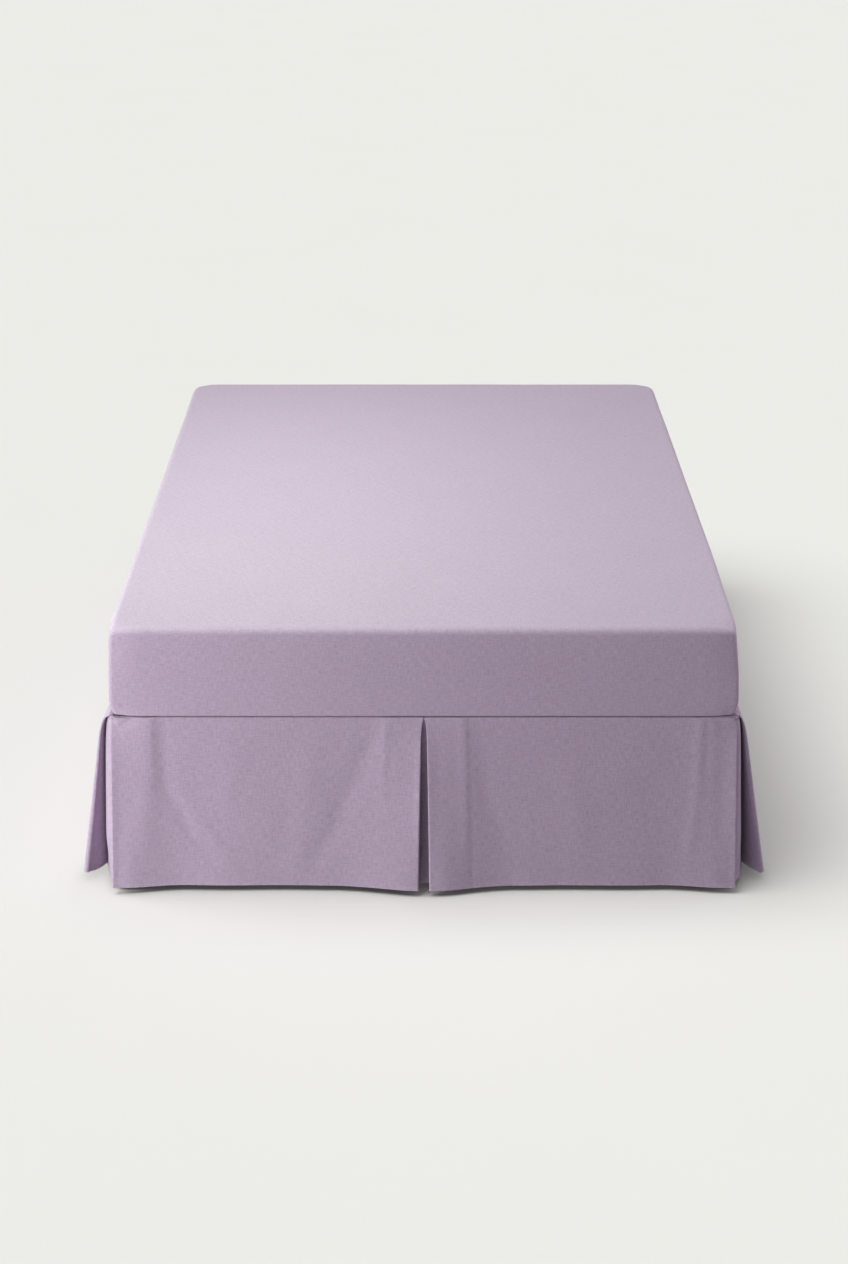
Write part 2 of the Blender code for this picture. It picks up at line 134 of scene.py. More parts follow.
LEFT_CORNER = PanelEnd(
    ridge_top=0.013, ridge_hem=0.036, out_hem=0.0865, shoulder=0.18, reach=0.36,
    fold_out_hem=0.0260, fold_slide=-0.004, return_roll=0.24, turn=0.0072, turn_depth=0.45)
RIGHT_CORNER = LEFT_CORNER._replace(ridge_hem=0.035, out_hem=0.0860, shoulder=0.12,
                                    fold_out_hem=0.0300, return_roll=0.12)
HEAD_EDGE = PanelEnd(ridge_top=0.006, ridge_hem=0.006, out_hem=0.0150, shoulder=0.10, reach=0.25)
RETURN_ROLL = 0.12              # share of a return in which it rolls inwards first
CURL_EASES_FROM = 0.45          # share of the drop below which the curl eases
CURL_REACH = 0.025              # how far from its ridge a face curls outwards

# wave and phase give each hem its own slight ripple.  lip is how far the top leans back.
Panel = namedtuple("Panel", "name side start start_at end end_at wave phase lip")
PANELS = (
    Panel("drop_foot_left", "foot", FOOT_CORNER, -HALF_WIDTH, MIDDLE_ROLLED, 0.0,
          0.0012, 0.4, 0.0016),
    Panel("drop_foot_right", "foot", MIDDLE, 0.0, FOOT_CORNER, HALF_WIDTH,
          0.0014, 2.1, 0.0002),
    Panel("drop_left_front", "left", LEFT_CORNER, 0.0, MIDDLE, SIDE_MIDDLE,
          0.0016, 1.2, 0.0006),
    Panel("drop_left_back", "left", MIDDLE, SIDE_MIDDLE, HEAD_EDGE, BASE_LENGTH,
          0.0016, 3.0, 0.0005),
    Panel("drop_right_front", "right", RIGHT_CORNER, 0.0, MIDDLE, SIDE_MIDDLE,
          0.0015, 0.1, 0.0005),
    Panel("drop_right_back", "right", MIDDLE, SIDE_MIDDLE, HEAD_EDGE, BASE_LENGTH,
          0.0017, 4.2, 0.0006),
)
LIP_REACH = 0.014               # share of the drop in which a panel's top leans back by its lip
CORNER_SINK = 0.0105            # a foot panel's top corner sinks in over the base's round corner
CORNER_SINK_WIDTH = 0.034
CORNER_SINK_DEPTH = 0.09        # share of the drop

Underlay = namedtuple("Underlay", "name side middle")
UNDERLAYS = (
    Underlay("underlay_foot", "foot", 0.0),
    Underlay("underlay_left", "left", SIDE_MIDDLE),
    Underlay("underlay_right", "right", SIDE_MIDDLE),
)

# A corner underlay's way out at the hem, and how far it swells beyond that in between.  On a
# leg, share runs from the corner's arc to the inner fold, and on the arc from foot to side.
CornerStation = namedtuple("CornerStation", "part share left_hem right_hem left_swell right_swell")
CORNER_STATIONS = (
    CornerStation("foot leg", 1.00, 0.0042, 0.0042, 0.0, 0.0),
    CornerStation("foot leg", 0.62, 0.0044, 0.0044, 0.0, 0.0),
    CornerStation("foot leg", 0.28, 0.0046, 0.0046, 0.0, 0.0),
    CornerStation("arc", 0.00, 0.0054, 0.0054, 0.0, 0.0),
    CornerStation("arc", 0.25, 0.0085, 0.0075, 0.0020, 0.0040),
    CornerStation("arc", 0.50, 0.0180, 0.0160, 0.0060, 0.0125),
    CornerStation("arc", 0.75, 0.0222, 0.0232, 0.0080, 0.0062),
    CornerStation("arc", 1.00, 0.0250, 0.0294, 0.0080, 0.0032),
    CornerStation("side leg", 0.30, 0.0318, 0.0355, 0.0030, 0.0),
    CornerStation("side leg", 0.45, 0.0350, 0.0385, 0.0, 0.0),
    CornerStation("side leg", 1.00, 0.0470, 0.0410, 0.0, 0.0),
)
CORNER_SWELL_TOP = 0.5          # share of the swell that is there at the top
CORNER_SWELL_DEPTH = 0.10       # share of the drop
CORNER_SWELL_FADE = (0.70, 1.0)

# along is the way in which a side's stations run, and along x up x hand is its outside.
Side = namedtuple("Side", "origin along out hand")
SIDES = {
    "foot": Side(Vector((0, FOOT_Y, 0)), Vector((1, 0, 0)), Vector((0, -1, 0)), 1),
    "left": Side(Vector((-HALF_WIDTH, FOOT_Y, 0)), Vector((0, 1, 0)), Vector((-1, 0, 0)), -1),
    "right": Side(Vector((HALF_WIDTH, FOOT_Y, 0)), Vector((0, 1, 0)), Vector((1, 0, 0)), 1),
}

# ---------------- the sheets' own fineness
WOVEN = 0.0009                  # the real cloth's thickness
ROWS = 52                       # rows from the top of the drop to the hem
BEND_STEPS = 6                  # steps of a quarter turn over the base's edge
RIDGE_STEPS = 10
RETURN_STEPS = 12
END_ZONE = (0.0105, 0.1665)     # finely cut stretch beside each ridge
END_STEP = 0.004
EDGE_STRIP = 0.0008             # flat strip between a ridge's turn and the face
MIDDLE_STEP = 0.010
UNDERLAY_STEP = 0.006
CORNER_STEPS = 4                # steps between two stations of a corner underlay
DECK_STEPS = (48, 64)           # across and along
HEM_HEIGHT = HEM_CLEARANCE + 0.0025     # the sheets end a little above their solids
HEM_TURN = 0.0009               # radius of the turned-up hem's fold
HEM_STEPS = 5
HEM_ROWS = 3                    # rows that the hem reaches up behind the cloth
HEM_ROLL = 0.0007               # how far the pressed hem edge stands proud
HEM_ROLL_REACH = 0.0034
HEM_ROLL_ROWS = (0.0034, 0.0026, 0.0019, 0.0013, 0.0008, 0.0004)

# Low, wide unevenness of hanging cloth, and small puckers along the hem.
SAG_SIZE = 0.13
SAG_PER_DROP = 1.6              # the noise's own lengths in one drop
SAG_DEPTH = 0.0016
SAG_FADE = (0.0, 0.5)           # shares of the drop between which the sags come
PUCKER_SIZE = 0.021
PUCKER_PER_DROP = 2.0
PUCKER_DEPTH = 0.00035
PUCKER_REACH = 0.045
NOISE_APART = 5.0               # between two panels' stretches of noise
RELIEF_MARGIN = 0.045           # the relief fades out towards a panel's ridges

# Pressed creases and soft folds on each panel: the height and half width of each, and its
# route, as places of (distance from the panel's start ridge, share of the drop).
Crease = namedtuple("Crease", "height width route")
CREASES = {
    "drop_foot_left": (
        Crease(0.0016, 0.026, ((0.080, -0.2), (0.080, 0.40), (0.070, 0.75))),
        Crease(0.0007, 0.007, ((0.088, -0.2), (0.090, 0.35))),
        Crease(-0.0015, 0.020, ((0.112, 0.05), (0.120, 0.40), (0.165, 0.62), (0.215, 0.82))),
        Crease(0.0012, 0.024, ((0.160, 0.42), (0.195, 0.62), (0.262, 0.88))),
        Crease(0.0008, 0.020, ((0.270, 0.20), (0.262, 0.55))),
        Crease(0.0012, 0.028, ((0.440, 0.25), (0.432, 0.60), (0.412, 0.95))),
        Crease(-0.0022, 0.026, ((0.582, 0.08), (0.556, 0.30), (0.520, 0.52), (0.465, 0.88))),
        Crease(0.0008, 0.008, ((0.611, -0.1), (0.609, 0.45))),
        Crease(0.0010, 0.007, ((0.640, -0.02), (0.606, 0.07))),
    ),
    "drop_foot_right": (
        Crease(-0.0008, 0.012, ((0.018, 0.02), (0.022, 0.55))),
        Crease(0.0012, 0.014, ((0.084, -0.2), (0.086, 0.80))),
        Crease(-0.0007, 0.007, ((0.095, -0.2), (0.098, 1.2))),
        Crease(-0.0012, 0.020, ((0.122, 0.18), (0.130, 0.45), (0.165, 0.72))),
        Crease(0.0008, 0.024, ((0.186, 0.12), (0.196, 0.62))),
        Crease(0.0016, 0.032, ((0.318, 0.25), (0.338, 0.65), (0.350, 0.98))),
        Crease(0.0013, 0.012, ((0.612, -0.2), (0.606, 0.35), (0.590, 0.85))),
        Crease(-0.0008, 0.009, ((0.624, -0.1), (0.622, 0.30))),
        Crease(-0.0015, 0.018, ((0.668, 0.06), (0.666, 0.75))),
    ),
    "drop_left_front": (
        Crease(0.0006, 0.012, ((0.088, -0.2), (0.090, 0.60))),
        Crease(-0.0012, 0.026, ((0.160, 0.12), (0.178, 0.45), (0.250, 0.92))),
        Crease(0.0012, 0.030, ((0.445, 0.20), (0.440, 0.60), (0.415, 1.00))),
        Crease(-0.0011, 0.024, ((0.700, 0.08), (0.680, 0.45), (0.618, 0.90))),
        Crease(0.0007, 0.010, ((0.862, -0.2), (0.858, 0.60))),
    ),
    "drop_left_back": (
        Crease(0.0007, 0.010, ((0.088, -0.2), (0.086, 0.70))),
        Crease(0.0011, 0.028, ((0.235, 0.15), (0.255, 0.55), (0.300, 0.95))),
        Crease(-0.0011, 0.028, ((0.565, 0.20), (0.552, 0.60), (0.538, 1.00))),
        Crease(0.0010, 0.024, ((0.785, 0.08), (0.800, 0.50), (0.815, 0.92))),
    ),
    "drop_right_front": (
        Crease(0.0006, 0.012, ((0.088, -0.2), (0.090, 0.60))),
        Crease(-0.0012, 0.028, ((0.180, 0.12), (0.205, 0.50), (0.272, 0.94))),
        Crease(0.0012, 0.030, ((0.495, 0.15), (0.480, 0.55), (0.445, 1.00))),
        Crease(-0.0011, 0.024, ((0.722, 0.08), (0.700, 0.48), (0.645, 0.92))),
        Crease(0.0007, 0.010, ((0.862, -0.2), (0.860, 0.70))),
    ),
    "drop_right_back": (
        Crease(0.0007, 0.010, ((0.088, -0.2), (0.086, 0.70))),
        Crease(-0.0011, 0.026, ((0.222, 0.10), (0.240, 0.50), (0.282, 0.90))),
        Crease(0.0012, 0.030, ((0.498, 0.18), (0.508, 0.60), (0.528, 1.00))),
        Crease(-0.0010, 0.022, ((0.762, 0.06), (0.752, 0.50), (0.728, 0.92))),
    ),
}
CREASE_FADE = 0.14              # share of the drop over which a crease comes and goes


# ---------------- helpers
def smooth_step(low, high, value):
    share = min(max((value - low) / (high - low), 0.0), 1.0)
    return share * share * (3 - 2 * share)


def mix(first, last, share):
    return first + (last - first) * share


def shares(count):
    """count + 1 evenly spaced numbers from 0 to 1."""
    return [n / count for n in range(count + 1)]


def swing(t, share=SHOULDER_SHARE):
    """How much of its full swing an edge has at the share t of the drop."""
    return share * (1 - exp(-t / SHOULDER_DEPTH)) + (1 - share) * t


def place(side, along, out, z):
    spot = SIDES[side]
    point = spot.origin + spot.along * along + spot.out * out
    point.z = z
    return point


def running_length(points):
    """The distance along a row of points, from its first one."""
    lengths = [0.0]
    for first, last in zip(points, points[1:]):
        lengths.append(lengths[-1] + (last - first).length)
    return lengths


def add_object(name, data):
    obj = bpy.data.objects.new(name, data)
    bpy.context.scene.collection.objects.link(obj)
    return obj


def mesh_object(name, points, faces, uvs):
    """An object from points, faces and one (u, v) in metres for each face corner."""
    mesh = bpy.data.meshes.new(name)
    mesh.from_pydata(points, [], faces)
    layer = mesh.uv_layers.new(name="cloth")
    layer.data.foreach_set("uv", [number for uv in uvs for number in uv])
    mesh.shade_smooth()
    return add_object(name, mesh)


def sheet_object(name, rows, across, down, has_face):
    """A sheet from rows of points; across and down are its threads' lengths.

    has_face(row, station) says whether the sheet covers that place.
    """
    width = len(rows[0])
    points, faces, uvs = [], [], []
    index = {}

    def corner(row, station):
        if (row, station) not in index:
            index[row, station] = len(points)
            points.append(rows[row][station])
        return index[row, station]

    for row in range(len(rows) - 1):
        for station in range(width - 1):
            if not has_face(row, station):
                continue
            ring = ((row, station), (row + 1, station), (row + 1, station + 1), (row, station + 1))
            faces.append([corner(*spot) for spot in ring])
            uvs += [(across[spot[1]], -down[spot[0]]) for spot in ring]
    obj = mesh_object(name, points, faces, uvs)
    solid = obj.modifiers.new("thickness", "SOLIDIFY")
    solid.thickness = WOVEN
    solid.offset = 0.0
    solid.use_quality_normals = True
    return obj


# ---------------- skirt sheets
def hang(point_at, top_z, hem_z, hand):
    """Rows of the drop and its hem, where point_at(t) gives the plan points at t.

    A point that swings out rises a little, because the cloth keeps its length.
    """
    drop = top_z - hem_z
    start = point_at(0.0)
    rows = []
    for t in shares(ROWS)[:-1] + [1 - above / drop for above in HEM_ROLL_ROWS] + [1.0]:
        row = []
        for first, point in zip(start, point_at(t)):
            moved = (point - first).to_2d().length
            fall = sqrt(max(t * drop, moved) ** 2 - moved ** 2)
            row.append(Vector((point.x, point.y, top_z - fall)))
        outward = outward_ways(row, hand)
        roll = HEM_ROLL * (1 - smooth_step(0.0, HEM_ROLL_REACH, (1 - t) * drop))
        rows.append([point + way * roll for point, way in zip(row, outward)])
    return rows + hem_rows(rows, outward_ways(rows[-1], hand))


def outward_ways(row, hand):
    """The level direction of the cloth's right side at each station of a row."""
    ways = []
    for station in range(len(row)):
        before = row[max(station - 1, 0)]
        after = row[min(station + 1, len(row) - 1)]
        ways.append((after - before).cross(Vector((0, 0, 1))).normalized() * hand)
    return ways


def hem_rows(rows, outward):
    """The hem: the cloth turns to its wrong side and runs up behind itself."""
    edge = rows[-1]
    hem = []
    for share in shares(HEM_STEPS)[1:]:
        turn = pi * share
        hem.append([point - way * HEM_TURN * (1 - cos(turn)) - Vector((0, 0, HEM_TURN * sin(turn)))
                    for point, way in zip(edge, outward)])
    rolled = len(HEM_ROLL_ROWS) + 1
    for row in reversed(rows[-rolled - HEM_ROWS:-rolled]):
        hem.append([point - way * HEM_TURN * 2 for point, way in zip(row, outward)])
    return hem


def thread_lengths(rows, row_across, station_down):
    """How far each station lies across the cloth, and each row down it."""
    across = running_length(rows[row_across])
    down = running_length([row[station_down] for row in rows])
    return across, down


def ridge_at(end, t):
    """Where the end's fold lies along the side, from the pleat's middle."""
    return mix(end.ridge_top, end.ridge_hem, swing(t, end.parting))


def face_out(end, distance, t):
    """How far out the panel's face lies, at a distance from one end's ridge."""
    near_pleat = 0.0 if end.turn is None else 1 - smooth_step(*PLEAT_STEP, distance)
    top = mix(OUT_PANEL, OUT_PANEL_ON_PLEAT, near_pleat)
    fade = 1 - smooth_step(0.0, end.reach, distance)
    hem = mix(OUT_PANEL_HEM, end.out_hem, fade)
    hem = max(hem, top + OUT_PANEL_HEM - OUT_PANEL)
    curl = end.curl * exp(-distance / CURL_REACH) * (1 - exp(-t / end.curl_depth))
    curl *= mix(1.0, end.curl_at_hem, smooth_step(CURL_EASES_FROM, 1.0, t))
    return mix(top, hem, swing(t, mix(SHOULDER_SHARE, end.shoulder, fade))) + curl


def end_line(end, t):
    """(distance, out) from the inner fold, round the ridge, to the face's start."""
    if end.turn is None:
        return [(0.0, face_out(end, 0.0, t))]
    radius = mix(RIDGE_RADIUS_TOP, end.turn, 1 - exp(-t / end.turn_depth))
    face = face_out(end, 0.0, t)
    behind = face - 2 * radius
    fold = mix(OUT_INNER_FOLD, end.fold_out_hem, swing(t))
    length = PLEAT_DEPTH + end.fold_slide * t
    line = []
    for share in reversed(shares(RETURN_STEPS)[1:]):
        inward = mix(share, 1 - exp(-share / RETURN_ROLL), end.return_roll)
        line.append((mix(radius, length, share), mix(behind, fold, inward)))
    for share in reversed(shares(RIDGE_STEPS)):
        turn = pi * share
        line.append((radius - radius * sin(turn), face - radius + radius * cos(turn)))
    line.append((radius + EDGE_STRIP, face))
    return line


def crease_depth(panel, distance, t):
    """The panel's own pressed creases and soft folds, as a distance outwards."""
    depth = 0.0
    for crease in CREASES[panel.name]:
        top, hem = crease.route[0][1], crease.route[-1][1]
        shown = smooth_step(top - CREASE_FADE, top + CREASE_FADE, t)
        shown *= 1 - smooth_step(hem - CREASE_FADE, hem + CREASE_FADE, t)
        away = (distance - route_at(crease.route, t)) / crease.width
        depth += crease.height * shown * exp(-away ** 2)
    return depth


def route_at(route, t):
    """Where a crease lies at the share t of the drop, on a smooth curve of its places."""
    at = route[0][0]
    for (first, low), (last, high) in zip(route, route[1:]):
        at += (last - first) * smooth_step(low, high, t)
    return at


def sag_depth(panel, distance, t):
    """Wide unevenness of the hanging cloth, and the puckers just above its hem."""
    seed = 2 * NOISE_APART * PANELS.index(panel)
    low = noise.noise(Vector((distance / SAG_SIZE, t * SAG_PER_DROP, seed)))
    fine = noise.noise(Vector((distance / PUCKER_SIZE, t * PUCKER_PER_DROP, seed + NOISE_APART)))
    drop = HANG_TOP - HEM_CLEARANCE
    near_hem = 1 - smooth_step(0.0, PUCKER_REACH, (1 - t) * drop)
    return SAG_DEPTH * low * smooth_step(*SAG_FADE, t) + PUCKER_DEPTH * fine * near_hem


def panel_distances(panel, width):
    """Places across a panel's face from its start ridge, close together at both ends."""
    zone = END_ZONE[1] - END_ZONE[0]
    near = [END_ZONE[0] + zone * share for share in shares(round(zone / END_STEP))]
    inner = panel.end_at - panel.start_at - 2 * END_ZONE[1]
    middles = shares(round(inner / MIDDLE_STEP))[1:-1]
    distances = near + [mix(END_ZONE[1], width - END_ZONE[1], share) for share in middles]
    return distances + [width - distance for distance in reversed(near)]


def leant(panel, end, out, distance, t):
    """out, with the panel's top leant back, and more so beside a foot corner."""
    lip = panel.lip * exp(-t / LIP_REACH)
    corner = exp(-(distance / CORNER_SINK_WIDTH) ** 2 - t / CORNER_SINK_DEPTH)
    return out - lip - (CORNER_SINK * corner if end is FOOT_CORNER else 0.0)


def panel_line(panel, t):
    """The panel's plan line at the share t of the drop, as (along, out) pairs."""
    start, end = panel.start, panel.end
    start_ridge = panel.start_at + ridge_at(start, t)
    end_ridge = panel.end_at - ridge_at(end, t)
    width = end_ridge - start_ridge
    line = [(start_ridge + along, leant(panel, start, out, 0.0, t))
            for along, out in end_line(start, t)]
    for distance in panel_distances(panel, width):
        out = max(face_out(start, distance, t), face_out(end, width - distance, t))
        ripple = sin(2 * pi * distance / WAVE_LENGTH + panel.phase) + 1
        relief = panel.wave * ripple * t * t
        relief += crease_depth(panel, distance, t) + sag_depth(panel, distance, t)
        out += relief * smooth_step(0.0, RELIEF_MARGIN, min(distance, width - distance))
        out = min(leant(panel, start, out, distance, t),
                  leant(panel, end, out, width - distance, t))
        line.append((start_ridge + distance, out))
    line += [(end_ridge - along, leant(panel, end, out, 0.0, t))
             for along, out in reversed(end_line(end, t))]
    return line


def flange_end(panel, along):
    """How far in the flange reaches: less beside a foot corner, where two meet."""
    if panel.side != "foot":
        return PANEL_FLANGE_END
    from_corner = HALF_WIDTH - abs(along)
    return mix(MITRE_FLANGE_END, PANEL_FLANGE_END,
               smooth_step(MITRE_REACH, MITRE_REACH + MITRE_FADE, from_corner))


def make_panel(panel):
    """A drop panel: its flange, its bend over the base's edge, its drop and its hem."""
    top = panel_line(panel, 0.0)
    rows = [[place(panel.side, along, flange_end(panel, along), PANEL_FLANGE_Z)
             for along, out in top]]
    for share in shares(BEND_STEPS)[:-1]:
        turn = share * pi / 2
        rows.append([place(panel.side, along, out - PANEL_BEND * (1 - sin(turn)),
                           HANG_TOP + PANEL_BEND * cos(turn)) for along, out in top])

    def plan(t):
        return [place(panel.side, along, out, 0.0) for along, out in panel_line(panel, t)]

    turned = len(rows)          # from here down, the returns are part of the sheet as well
    rows += hang(plan, HANG_TOP, HEM_HEIGHT + HEM_TURN, SIDES[panel.side].hand)
    apex = RETURN_STEPS + RIDGE_STEPS // 2
    first = 0 if panel.start.turn is None else apex
    last = len(top) - 1 - (0 if panel.end.turn is None else apex)
    across, down = thread_lengths(rows, turned + ROWS // 2, len(top) // 2)

    def has_face(row, station):
        return row >= turned or first <= station < last

    sheet = sheet_object(panel.name + "_cloth", rows, across, down, has_face)
    dress(sheet, panel.name)


def make_underlay(underlay):
    """The straight cloth behind a middle pleat, from inner fold to inner fold."""
    bend_z = UNDERLAY_FLANGE_Z - UNDERLAY_BEND
    count = round(2 * PLEAT_DEPTH / UNDERLAY_STEP)
    stations = [mix(-1, 1, share) for share in shares(count)]

    def line(t):
        half = ridge_at(MIDDLE, t) + PLEAT_DEPTH
        out = OUT_UNDERLAY + UNDERLAY_FLARE * swing(t)
        return [(underlay.middle + half * share, out) for share in stations]

    def row(out_of, z):
        return [place(underlay.side, along, out_of(out), z) for along, out in line(0.0)]

    rows = [row(lambda out: UNDERLAY_FLANGE_END, UNDERLAY_FLANGE_Z)]
    for share in shares(BEND_STEPS):
        turn = share * pi / 2
        rows.append(row(lambda out: out - UNDERLAY_BEND * (1 - sin(turn)),
                        bend_z + UNDERLAY_BEND * cos(turn)))

    def plan(t):
        return [place(underlay.side, along, out, 0.0) for along, out in line(t)]

    rows += hang(plan, bend_z, HEM_HEIGHT + UNDERLAY_SHORT + HEM_TURN,
                 SIDES[underlay.side].hand)
    across, down = thread_lengths(rows, len(rows) // 2, count // 2)
    sheet = sheet_object(underlay.name + "_cloth", rows, across, down, lambda row, station: True)
    dress(sheet, underlay.name)


def corner_path(hand, t, out_of):
    """The corner underlay's plan line at t, smoothed through its stations."""
    side_end = LEFT_CORNER if hand < 0 else RIGHT_CORNER
    centre = Vector((HALF_WIDTH - BASE_CORNER, FOOT_Y + BASE_CORNER, 0))
    points = []
    for station in CORNER_STATIONS:
        turn = {"foot leg": 0.0, "arc": station.share * pi / 2, "side leg": pi / 2}[station.part]
        end = FOOT_CORNER if station.part == "foot leg" else side_end
        leg = ridge_at(end, t) + PLEAT_DEPTH + end.fold_slide * t - BASE_CORNER
        beyond = {"foot leg": -leg * station.share, "arc": 0.0, "side leg": leg * station.share}
        outward = Vector((sin(turn), -cos(turn), 0))
        onward = Vector((cos(turn), sin(turn), 0))
        point = centre + outward * (BASE_CORNER + out_of(station)) + onward * beyond[station.part]
        points.append(Vector((hand * point.x, point.y, 0)))
    return smooth_line(points, CORNER_STEPS)


def smooth_line(points, steps):
    """A Catmull-Rom curve through the points, with so many steps in each stretch."""
    line = []
    padded = [points[0] * 2 - points[1]] + points + [points[-1] * 2 - points[-2]]
    for a, b, c, d in zip(padded, padded[1:], padded[2:], padded[3:]):
        for s in shares(steps)[:-1]:
            line.append(0.5 * (2 * b + (c - a) * s + (2 * a - 5 * b + 4 * c - d) * s * s
                               + (3 * b - a - 3 * c + d) * s ** 3))
    line.append(points[-1])
    return line


def make_corner_underlay(name, hand):
    """The underlay that wraps round a foot corner, behind both panels' folds."""
    bend_z = UNDERLAY_FLANGE_Z - UNDERLAY_BEND

    def out_of(station, t):
        left = hand < 0
        hem = station.left_hem if left else station.right_hem
        swell = station.left_swell if left else station.right_swell
        grown = mix(CORNER_SWELL_TOP, 1.0, 1 - exp(-t / CORNER_SWELL_DEPTH))
        grown *= 1 - smooth_step(*CORNER_SWELL_FADE, t)
        return mix(OUT_UNDERLAY, hem, swing(t)) + swell * grown

    def row(inset, z):
        path = corner_path(hand, 0.0, lambda station: out_of(station, 0.0) - inset)
        return [Vector((point.x, point.y, z)) for point in path]

    rows = [row(OUT_UNDERLAY - UNDERLAY_FLANGE_END, UNDERLAY_FLANGE_Z)]
    for share in shares(BEND_STEPS):
        turn = share * pi / 2
        rows.append(row(UNDERLAY_BEND * (1 - sin(turn)), bend_z + UNDERLAY_BEND * cos(turn)))

    def plan(t):
        return corner_path(hand, t, lambda station: out_of(station, t))

    rows += hang(plan, bend_z, HEM_HEIGHT + UNDERLAY_SHORT + HEM_TURN, hand)
    across, down = thread_lengths(rows, len(rows) // 2, len(rows[0]) // 2)
    sheet = sheet_object(name + "_cloth", rows, across, down, lambda row, station: True)
    dress(sheet, name)


def dress(sheet, node):
    """Gives a sheet of the skirt its cloth, hangs it on the root body and hides the solid it
    replaces.
    """
    sheet.data.materials.append(SKIRT_CLOTH)
    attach(sheet, "root")
    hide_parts(node)


def make_deck():
    """The skirt's deck, laid flat between mattress and base."""
    middle_z = (DECK_LOW.z + DECK_HIGH.z) / 2
    across = [mix(DECK_LOW.x, DECK_HIGH.x, share) for share in shares(DECK_STEPS[0])]
    along = [mix(DECK_LOW.y, DECK_HIGH.y, share) for share in shares(DECK_STEPS[1])]
    rows = [[Vector((x, y, middle_z)) for x in across] for y in along]
    deck = sheet_object("deck_sheet", rows, across, along, lambda row, station: True)
    deck.data.materials.append(DECK_CLOTH)
    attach(deck, "root")
    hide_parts("skirt_deck")


# ---------------- blocks with soft edges
Block = namedtuple("Block", "corner edge_top rim_undercut rim_lift uneven uneven_size "
                            "shift narrow crown draw_top draw_bottom swell foot_swell "
                            "slump tuck tuck_top right_draw",
                   defaults=(0.0, 0.0, 0.0, 0.0, 0.0, 1.0, 0.0, 0.0, 0.0, 0.0, 0.0))
MATTRESS_BLOCK = Block(
    corner=0.010, edge_top=0.016, rim_undercut=0.0150, rim_lift=0.0044,
    uneven=0.0010, uneven_size=0.22, shift=-0.0008, narrow=0.0008, crown=0.0015,
    draw_top=0.0075, draw_bottom=0.0004, swell=0.55, foot_swell=0.0020,
    slump=0.0040, tuck=0.0065, tuck_top=0.0055, right_draw=0.0045)
BASE_BLOCK = Block(corner=0.045, edge_top=0.006, rim_undercut=0.006, rim_lift=0.006,
                   uneven=0.0002, uneven_size=0.15)
CORNER_NODES = 9
FACE_STEP = 0.026
LEVELS = 18
EDGE_LEVELS = 8
CORNER_REACH = 0.055            # how far from a corner it slumps and tucks in
SLUMP_LEVELS = (0.6, 1.0)       # levels are shares of a block's height
TUCK_HEIGHT = 0.034
TUCK_TOP_LEVELS = (0.10, 0.80)
RIGHT_DRAW_LEVELS = (0.45, 0.95)
RIGHT_DRAW_REACH = 0.45         # from the foot end, at the top right
SIDE_NOISE_AT = Vector((3.1, 7.7, 1.3))
TOP_NOISE_AT = Vector((9.2, 4.4, 2))

FOOT_COUNT = 6
FOOT_SIDES = 40
FOOT_TAPER = 0.88               # a foot's radius on the floor, as a share of its full one
FOOT_BEVEL = 0.003
FOOT_BEVEL_STEPS = 3


def axis_nodes(half, corner):
    """Places along one axis: close together in the corners, even between them."""
    inner = half - corner
    count = round(2 * inner / FACE_STEP)
    ends = [inner + corner * share for share in shares(CORNER_NODES)[1:]]
    middles = [mix(-inner, inner, share) for share in shares(count)]
    return [-end for end in reversed(ends)] + middles + ends


def round_corner(x, y, half_x, half_y, corner):
    """Moves a plan point of a square-cornered outline onto the round-cornered one."""
    over_x = (abs(x) - (half_x - corner)) / corner
    over_y = (abs(y) - (half_y - corner)) / corner
    if over_x <= 0 or over_y <= 0:
        return x, y
    pull = max(over_x, over_y) / hypot(over_x, over_y)
    new_x = half_x - corner + corner * over_x * pull
    new_y = half_y - corner + corner * over_y * pull
    return (new_x if x > 0 else -new_x), (new_y if y > 0 else -new_y)


